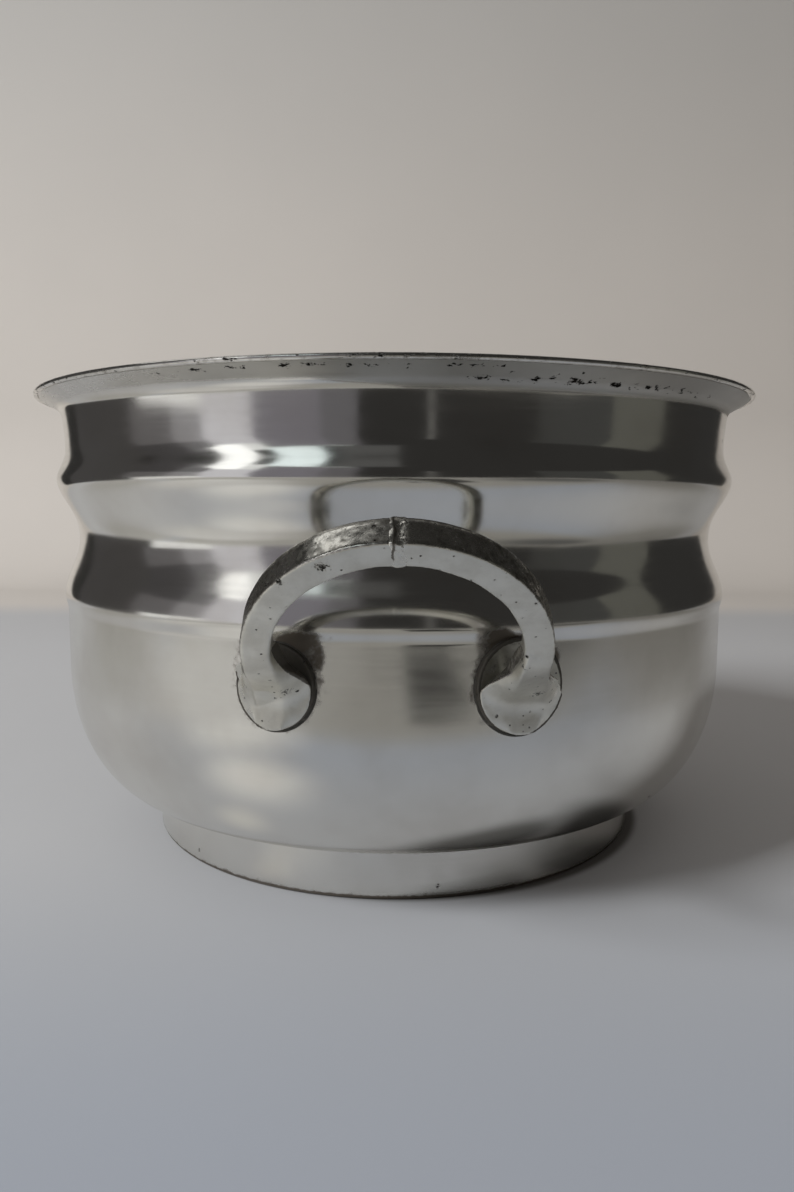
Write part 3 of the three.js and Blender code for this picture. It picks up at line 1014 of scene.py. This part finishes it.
def outer_side(mesh):
    """How far each point of an arm faces away from the middle of the loop."""
    arch = arch_frame(0)
    places = seen_from(arch, coordinates(mesh))
    normals = normals_of(mesh) @ np.array(arch.to_3x3())
    across = places[:, 0] / ARM_HALF_SPAN ** 2
    along = np.clip(places[:, 1] - LEG_LENGTH, 0, None) / ARCH_RISE ** 2
    facing = (normals[:, 0] * across + normals[:, 1] * along) / np.hypot(across, along)
    return ramp(facing, *SIDE_FACES)


def corner_share(side, across, up, out):
    """How deep each point lies in the painted shade of the corner between an arm and its pad."""
    edge = np.interp(-side * across - CORNER_SLANT * out, *zip(*CORNER_EDGE))
    return ramp(up - CORNER_DROP * out - edge, 0, CORNER_FADE) * (np.hypot(across, up) < CORNER_REACH)


def outer_rim(side, across, up, out):
    """Painted shade along the edge of a fan on the side away from the middle of the loop."""
    from_rim = np.hypot(across, up) - PAD_RADII[side] + FAN_INSET
    return ramp(from_rim, *FAN_RIM_FADE) * (out < FAN_TOP + 1) * ramp(side * across, 0, 2)


def rubbed(seat, across):
    """How far tarnish is rubbed off along the top side of an arm."""
    if seat.place == "back":
        return BACK_RUBBED
    return np.max([most * bell(across, middle, reach, 4) for middle, reach, most in RUBBED], axis=0)


def arm_tarnish(seat, places, outer):
    """Tarnish near the pad and on the bar's outer side, and painted shade in the corner at the pad and
    along the fan's edge.
    """
    on_pad = seen_from(seated_frame(seat), places).T
    away = np.linalg.norm(places - np.array(pad_frame(seat.side, seat.turn).translation), axis=1)
    left = lerp(*SIDE_TARNISH, rubbed(seat, places[:, 0]))
    tarnish = ARM_TARNISH + halo(away, *ROOT_HALO) + left * outer * ramp(away, *SIDE_STARTS)
    tarnish += ARM_CORNER_SHADE[seat.side] * corner_share(seat.side, *on_pad)
    return np.clip(tarnish + outer_rim(seat.side, *on_pad), 0, 1)


def arm_marks(seat, places):
    """Clusters of pits, on the front handle only."""
    marks = np.zeros(len(places))
    if seat.place == "front":
        for *middle, size in ARM_MARKS:
            marks = np.maximum(marks, bell(np.linalg.norm(places - middle, axis=1), 0, size))
    return marks


def arm(seat, material):
    mesh = arm_mesh(seat)
    outer = outer_side(mesh)
    mesh.transform(Matrix.Rotation(seat.turn, 4, "Z"))
    places = coordinates(mesh)
    upward = normals_of(mesh)[:, 2]
    paint(
        mesh,
        tarnish=arm_tarnish(seat, places, outer),
        satin=np.clip(1 - 2 * upward - outer, 0, 1),
        marks=arm_marks(seat, places))
    add_piece(mesh, material, seat.node("arm"), CAST_SHARPNESS)


# Pads and solder

def pad(seat, material):
    """A round plate with an eased edge, seated in the wall."""
    edge = PAD_RADII[seat.side]
    outline = [(0, -PAD_SEAT), (edge, -PAD_SEAT)]
    outline += arc((edge - PAD_EDGE, PAD_THICKNESS - PAD_EDGE), (PAD_EDGE, PAD_EDGE), 0)
    outline += straight(outline[-1], (0, PAD_THICKNESS), PAD_RINGS)
    mesh = mesh_of(seat.node("pad_fine"), *revolve(outline, PAD_SEGMENTS))
    roughen(mesh, seat.side + PAD_SEED, PAD_BUMPS)
    places = coordinates(mesh)
    # Painted shade: the inner half is darker, most on the left pad, and the rim is full dark where the pad
    # meets the wall; the outer half is a little tarnished.
    tarnish = np.where(seat.side * places[:, 0] > 0, PAD_OUTER_TARNISH, PAD_INNER_SHADE[seat.side])
    tarnish[np.hypot(places[:, 0], places[:, 1]) > edge - PAD_RIM] = 1.0
    mesh.transform(seated_frame(seat))
    paint(mesh, tarnish=tarnish, satin=1, marks=0)
    add_piece(mesh, material, seat.node("pad"))


def pad_solder(seat, material):
    """A low fillet of solder round a pad, which follows the curve of the wall."""
    edge = PAD_RADII[seat.side]
    inside = edge - SOLDER_TUCK
    outline = [(inside, -PAD_SEAT), (edge + SOLDER_WIDTH + SOLDER_SPREAD, -PAD_SEAT)]
    centre = (edge + SOLDER_WIDTH, SOLDER_LIFT + SOLDER_HEIGHT)
    outline += arc(centre, (-SOLDER_WIDTH, SOLDER_HEIGHT), -RIGHT_ANGLE)
    outline.append((inside, SOLDER_HEIGHT))
    vertices, faces = revolve(outline, PAD_SEGMENTS)
    vertices[:, 2] -= vertices[:, 0] ** 2 / (2 * BODY_RADIUS)
    mesh = mesh_of(seat.node("pad_solder_fine"), vertices, faces)
    roughen(mesh, seat.side + PAD_SOLDER_SEED, PAD_SOLDER_BUMPS)
    shift = Matrix.Translation((seat.side * SOLDER_SHIFT[0], SOLDER_SHIFT[1], 0))
    mesh.transform(seated_frame(seat) @ shift)
    add_piece(mesh, material, seat.node("pad_solder"))


def crown_shade_line(places):
    """How deep each place on the crown lies in a wandering line of painted shade down its middle, where no
    cut is made.
    """
    wander = SHADE_LINE_PLACE
    for axis, swing, pitch, start in SHADE_LINE_WAVES:
        wander = wander + swing * np.sin(pitch * places[:, axis] + start)
    over = places[:, 1] - LEG_LENGTH - ARCH_RISE
    return bell(places[:, 0], wander, SHADE_LINE_WIDTH) * ramp(over, *SHADE_LINE_FADE)


def crown_solder(place, turn, material):
    """The joint between the arms: a thin uneven sleeve of solder that sinks into them at its ends."""
    half = CROWN_WIDTH / 2 / ARM_HALF_SPAN
    rings = []
    for t in shares(CROWN_RINGS):
        step = lerp(-CROWN_SINK, CROWN_STEP, math.sin(math.pi * t))
        depth = ARM_DEPTH / 2 + step
        section = arm_section(ARM_WIDTH / 2 + step, depth, depth)
        rings.append(arch_ring(RIGHT_ANGLE + lerp(-half, half, t), section))
    node = f"{place}_handle_crown_solder"
    mesh = cast(mesh_of(f"{node}_fine", *sweep(rings)), CROWN_VOXEL, CROWN_SMOOTHING)
    roughen(mesh, CROWN_SEED, CROWN_BUMPS)
    places = notched(coordinates(mesh))
    set_coordinates(mesh, places)
    mesh.transform(arch_frame(turn))
    specks = above_arch(places) * bell(places[:, 0], *CROWN_SPECKS)
    # The wandering line on the crown is painted shade; no cut is made.
    paint(mesh, tarnish=0.2 + 0.6 * crown_shade_line(places) + 0.1 * specks, satin=0.3, marks=0.6 * specks)
    add_piece(mesh, material, node, CAST_SHARPNESS)


def handle(place, turn, materials):
    for hand, side in SIDES.items():
        seat = Seat(place, turn, hand, side)
        arm(seat, materials["cast"])
        pad(seat, materials["cast"])
        pad_solder(seat, materials["solder"])
    crown_solder(place, turn, materials["cast"])


def cup():
    materials = {"sheet": silver_sheet(), "cast": cast_silver(), "solder": solder()}
    bowl_shell(materials["sheet"])
    rim_wire(materials["sheet"])
    foot_ring(materials["sheet"])
    foot_seam(materials["solder"])
    for place, turn in HANDLE_TURNS.items():
        handle(place, turn, materials)


# Table and walls

TABLE_COLOUR = (0.40, 0.40, 0.41, 1)
# Painted shadow: the table darkens and turns bluer towards the front, and darker still further out in what
# reflections see
TABLE_FRONT_SHADE = (0.285, 0.305, 0.348, 1)
TABLE_FRONT_SHADE_FADE = (-105, -15)
TABLE_BEYOND_SHADE = (0.25, 0.245, 0.232, 1)
TABLE_BEYOND_SHADE_FADE = (-140, -95)
# Painted contact shadow, the dark line where the foot meets the table: middle, reach and softness
CONTACT_SHADOW = ((2, 0), (42.9, 42.9), 0.04)
CONTACT_SHADOW_COLOUR = (0.10, 0.095, 0.09, 1)
# Painted light and shade on the table that only reflections see, dimmer to the far left and right, pools
# of light at the left front and shadow at the right front and by the foot: middle, reach across and along,
# softness, colour
TABLE_LIGHT_AND_SHADE = [
    ((-330, 0), (235, 150), 0.6, (0.30, 0.295, 0.285, 1)),
    ((340, -20), (250, 230), 0.6, (0.24, 0.235, 0.225, 1)),
    ((-165, -125), (125, 105), 0.6, (0.43, 0.425, 0.42, 1)),
    ((-76, -97), (47, 47), 0.8, (0.55, 0.545, 0.54, 1)),
    ((-38, -66), (26, 19), 0.9, (0.62, 0.61, 0.60, 1)),
    ((-28, -46), (9, 8), 0.9, (0.50, 0.49, 0.48, 1)),
    ((230, -220), (170, 110), 0.7, (0.10, 0.10, 0.10, 1)),
    ((35, -31), (13, 21), 0.7, (0.07, 0.07, 0.07, 1)),
    ((16, -44), (19, 8.5), 0.6, (0.09, 0.09, 0.09, 1)),
]
MOTTLE_COLOUR = (0.3, 0.29, 0.28, 1)
MOTTLE_SHARE = 0.06
WALL_COLOUR = (0.51, 0.478, 0.448, 1)
# Painted shade: the wall darkens towards its top between these heights
WALL_TOP_COLOUR = (0.38, 0.368, 0.355, 1)
WALL_DARKENS = (150, 480)
HORIZON_FADE = (246, 306)
WALL_PLACE = 480
SWEEP_RADIUS = 120
SWEEP_SEGMENTS = 24
STAGE_HALF = 3000
STAGE_HEIGHT = 1500
FAR_COLOUR = (0.46, 0.445, 0.425, 1)
FAR_FADE = (310, 800)
# What polished silver sees of the table and wall: how far they reach to the left, right and front
MIRRORED_LEFT = -450
MIRRORED_RIGHT = 480
MIRRORED_FRONT = -360


def faded(steps, place, ends, low=0.0, high=1.0):
    """A share that fades between two places along an axis, given in millimetres."""
    return steps.span(place, ends[0] * MM, ends[1] * MM, low, high)


def table_colour(steps, point, y, seen):
    """Painted shadow darkens the table towards the front, and a painted contact shadow lies round the
    foot. Only reflections see its patches of painted light and shade and the darker shade further out.
    """
    table = steps.mix(faded(steps, y, TABLE_FRONT_SHADE_FADE, 1.0, 0.0), TABLE_COLOUR, TABLE_FRONT_SHADE)
    table = steps.mix(steps.patch(point, *CONTACT_SHADOW), table, CONTACT_SHADOW_COLOUR)
    mirrored = steps.mix(faded(steps, y, TABLE_BEYOND_SHADE_FADE, 1.0, 0.0), table, TABLE_BEYOND_SHADE)
    for *spot, colour in TABLE_LIGHT_AND_SHADE:
        mirrored = steps.mix(steps.patch(point, *spot), mirrored, colour)
    return steps.mix(seen, mirrored, table)


def surface(name):
    """Matt stage surface: painted shade darkens the wall towards its top, and all of it fades into the
    background.
    """
    steps = Steps(bpy.data.materials.new(name))
    point = steps.add("ShaderNodeNewGeometry").outputs["Position"]
    seen = steps.add("ShaderNodeLightPath").outputs["Is Camera Ray"]
    split = steps.add("ShaderNodeSeparateXYZ", {"Vector": point})
    x, y, z = (split.outputs[axis] for axis in "XYZ")
    wall = steps.mix(faded(steps, z, WALL_DARKENS), WALL_COLOUR, WALL_TOP_COLOUR)
    colour = steps.mix(faded(steps, y, HORIZON_FADE), table_colour(steps, point, y, seen), wall)
    mottle = steps.span(steps.noise(point, scale=9, detail=3), 0.3, 0.7, 0.0, MOTTLE_SHARE)
    colour = steps.mix(mottle, colour, MOTTLE_COLOUR)
    inputs = {"Base Color": colour, "Roughness": 0.75, "Specular IOR Level": 0.15}
    shader = steps.add("ShaderNodeBsdfPrincipled", inputs)
    background = steps.add("ShaderNodeEmission", {"Color": FAR_COLOUR, "Strength": 1.0})
    away = steps.maths("MAXIMUM", steps.maths("ABSOLUTE", x), steps.maths("MULTIPLY", y, -1.0))
    far = steps.maths("MULTIPLY", faded(steps, away, FAR_FADE), seen)
    whole = steps.blend(far, shader.outputs["BSDF"], background.outputs["Emission"])
    steps.add("ShaderNodeOutputMaterial", {"Surface": whole})
    return steps.owner


def stage_object(name, points, faces, material):
    mesh = bpy.data.meshes.new(name)
    mesh.from_pydata([tuple(MM * c for c in p) for p in points], [], faces)
    mesh.materials.append(material)
    mesh.shade_smooth()
    thing = placed(name, mesh)
    return thing


def strip(name, left, right, outline, material):
    """A surface across part of the stage through points that have a y and a height."""
    points = [(x, y, z) for y, z in outline for x in (left, right)]
    faces = [(2 * i, 2 * i + 1, 2 * i + 3, 2 * i + 2) for i in range(len(outline) - 1)]
    return stage_object(name, points, faces, material)


def table_and_wall():
    """The table runs up into the wall in one sweep. Its outer parts are kept out of reflections."""
    material = surface("table_and_wall")
    centre = (WALL_PLACE - SWEEP_RADIUS, SWEEP_RADIUS)
    bend = arc(centre, (SWEEP_RADIUS, SWEEP_RADIUS), -RIGHT_ANGLE, SWEEP_SEGMENTS)
    outline = [(MIRRORED_FRONT, 0), *bend, (WALL_PLACE, STAGE_HEIGHT)]
    front = [(-STAGE_HALF, 0), (MIRRORED_FRONT, 0)]
    strip("table", MIRRORED_LEFT, MIRRORED_RIGHT, outline, material)
    strip("table_left", -STAGE_HALF, MIRRORED_LEFT, outline, material).visible_glossy = False
    strip("table_right", MIRRORED_RIGHT, STAGE_HALF, outline, material).visible_glossy = False
    strip("table_front", -STAGE_HALF, STAGE_HALF, front, material).visible_glossy = False


# What polished silver reflects, and the light

REFLECTOR_DISTANCE = 900
REFLECTOR_CENTRE = (0, 0, 45)
REFLECTOR_STEP = 10
# Boards that only reflections see: left and right, low and high angle, colour, strength
REFLECTORS = {
    "window": (-64, -51, 27, 52, (0.98, 0.99, 1.0), 1.35),
    "curtain": (-60, -43, -12, 27, (0.95, 0.94, 1.0), 0.64),
    "side_wall": (-43, -22, -12, 36, (0.92, 0.88, 1.0), 0.2),
    "side_wall_end": (-22, -11, -12, 36, (0.96, 0.93, 1.0), 0.13),
    "near_side_wall": (-72, -60, -1.5, 18, (0.97, 0.95, 1.0), 0.28),
    "near_side_top": (-72, -60, 18, 36, (0.97, 0.95, 1.0), 0.15),
    "middle_side_wall": (-90, -72, -1.5, 18, (1.0, 0.96, 1.0), 0.13),
    "middle_side_top": (-90, -72, 18, 36, (1.0, 0.96, 1.0), 0.06),
    "far_side_wall": (-125, -90, -12, 30, (1.0, 0.96, 0.96), 0.06),
    "sill": (-86, -59, -17, -1.5, (1.0, 1.0, 1.0), 0.85),
    "window_side": (-51, -44, 27, 39, (0.98, 0.99, 1.0), 0.8),
    "skylight": (-44, -26, 37, 51, (0.86, 0.97, 1.0), 1.1),
    "high_shelf": (-44, -14, 27, 37, (0.92, 1.0, 0.97), 0.45),
    "high_shelf_end": (-20, 2, 37, 50, (1.0, 1.0, 1.0), 0.09),
    "post": (10, 12, -10, 22, (1.0, 0.98, 0.95), 0.13),
    "right_far_wall": (44, 70, -8, 24, (1.0, 1.0, 0.97), 0.05),
    "right_wall": (70, 92, -8, 24, (1.0, 0.99, 0.88), 0.1),
    "overhead_left": (-130, -98, 44, 86, (1.0, 1.0, 1.0), 0.9),
    "overhead_back": (140, 220, 45, 75, (1.0, 1.0, 1.0), 0.12),
}
# The card on the table: left, right, near and far edge, its height, and its colour and strength
DARK_CARD = (12, 68, -165, -275)
DARK_CARD_HEIGHT = 0.4
DARK_CARD_GLOW = ((1, 0.98, 0.95), 0.03)
ROOM_RADIUS = 4000
ROOM_SIDES = 48
ROOM_GLOW = ((1.0, 0.97, 0.94), 0.029)
FILL_COLOUR = (1.0, 0.95, 0.89, 1)
FILL_STRENGTH = 0.45
# The lamp at the window: angle across and up, distance, width and height, power and colour
LAMP_PLACE = (-56, 38)
LAMP_DISTANCE = 1100
LAMP_SIZE = (250, 400)
LAMP_POWER = 13
LAMP_COLOUR = (0.97, 0.99, 1.0)


def direction(azimuth, elevation):
    """A direction by its angle to the right of -Y and its angle above the table, in degrees."""
    around, up = math.radians(azimuth), math.radians(elevation)
    return Vector((math.cos(up) * math.sin(around), -math.cos(up) * math.cos(around), math.sin(up)))


def glow(name, colour, strength):
    """A surface that gives light of one colour."""
    steps = Steps(bpy.data.materials.new(name))
    light = steps.add("ShaderNodeEmission", {"Color": (*colour, 1), "Strength": strength})
    steps.add("ShaderNodeOutputMaterial", {"Surface": light.outputs["Emission"]})
    return steps.owner


def mirrored_object(name, points, faces, material):
    """A stage object that only reflections see."""
    board = stage_object(name, points, faces, material)
    board.visible_camera = False
    board.visible_diffuse = False
    board.visible_shadow = False
    board.visible_transmission = False


def reflector(name, left, right, low, high, colour, strength):
    """A glowing board seen from the cup between two angles across and two angles up."""
    count = max(1, round((right - left) / REFLECTOR_STEP))
    angles = [(lerp(left, right, t), elevation) for elevation in (low, high) for t in shares(count)]
    points = [Vector(REFLECTOR_CENTRE) + direction(*pair) * REFLECTOR_DISTANCE for pair in angles]
    faces = [(i, i + 1, count + 2 + i, count + 1 + i) for i in range(count)]
    mirrored_object(name, points, faces, glow(name, colour, strength))


def dark_room():
    """A dark drum with a lid round the stage."""
    points = []
    for radius, height in ((ROOM_RADIUS, -ROOM_RADIUS), (ROOM_RADIUS, ROOM_RADIUS), (1, ROOM_RADIUS)):
        for i in range(ROOM_SIDES):
            angle = FULL_TURN * i / ROOM_SIDES
            points.append((radius * math.sin(angle), radius * math.cos(angle), height))
    faces = []
    for low in (0, ROOM_SIDES):
        for i in range(ROOM_SIDES):
            a, b = low + i, low + (i + 1) % ROOM_SIDES
            faces.append((a, b, b + ROOM_SIDES, a + ROOM_SIDES))
    material = glow("dark_room", *ROOM_GLOW)
    material.cycles.emission_sampling = "NONE"
    mirrored_object("dark_room", points, faces, material)


def dark_card():
    """A dark card flat on the table in front of the cup."""
    left, right, near, far = DARK_CARD
    corners = ((left, far), (right, far), (right, near), (left, near))
    points = [(x, y, DARK_CARD_HEIGHT) for x, y in corners]
    mirrored_object("dark_card", points, [(0, 1, 2, 3)], glow("dark_card", *DARK_CARD_GLOW))


def window_lamp():
    light = bpy.data.lights.new("window_lamp", "AREA")
    light.shape = "RECTANGLE"
    light.size, light.size_y = (side * MM for side in LAMP_SIZE)
    light.energy = LAMP_POWER
    light.color = LAMP_COLOUR
    thing = placed("window_lamp", light)
    place = direction(*LAMP_PLACE) * LAMP_DISTANCE * MM
    thing.matrix_world = Matrix.Translation(place) @ place.to_track_quat("Z", "Y").to_matrix().to_4x4()
    thing.visible_glossy = False


def lighting():
    window_lamp()
    for name, settings in REFLECTORS.items():
        reflector(name, *settings)
    dark_card()
    dark_room()


def sky():
    """The world: a pale background, and an even fill on matt surfaces."""
    world = bpy.data.worlds.new("room")
    bpy.context.scene.world = world
    steps = Steps(world)
    rays = steps.add("ShaderNodeLightPath").outputs
    seen = steps.add("ShaderNodeBackground", {"Color": FAR_COLOUR, "Strength": 1.0})
    fill = steps.add("ShaderNodeBackground", {"Color": FILL_COLOUR, "Strength": FILL_STRENGTH})
    straight_on = steps.maths("MAXIMUM", rays["Is Camera Ray"], rays["Is Transmission Ray"])
    shown = steps.maths("MAXIMUM", straight_on, rays["Is Glossy Ray"])
    whole = steps.blend(shown, fill.outputs[0], seen.outputs[0])
    steps.add("ShaderNodeOutputWorld", {"Surface": whole})


# Camera

CAMERA_PLACE = (0.5, -158.3, 56.3)
CAMERA_PITCH = math.radians(6.45)
CAMERA_ROLL = math.radians(0.17)
FRAME_HEIGHT = 1192
FOCAL_PIXELS = 865
SENSOR = 36.0


def camera():
    """The photograph's camera, close to the cup and a little above the middle of the wall."""
    view = bpy.data.cameras.new("camera")
    view.sensor_width = SENSOR
    view.lens = FOCAL_PIXELS / FRAME_HEIGHT * SENSOR
    view.clip_start = MM
    thing = placed("camera", view)
    tilt = Matrix.Rotation(RIGHT_ANGLE - CAMERA_PITCH, 4, "X")
    roll = Matrix.Rotation(CAMERA_ROLL, 4, "Z")
    thing.matrix_world = Matrix.Translation(Vector(CAMERA_PLACE) * MM) @ tilt @ roll
    bpy.context.scene.camera = thing


cup()
camera()
table_and_wall()
sky()
lighting()
bpy.context.scene.view_settings.view_transform = "Standard"
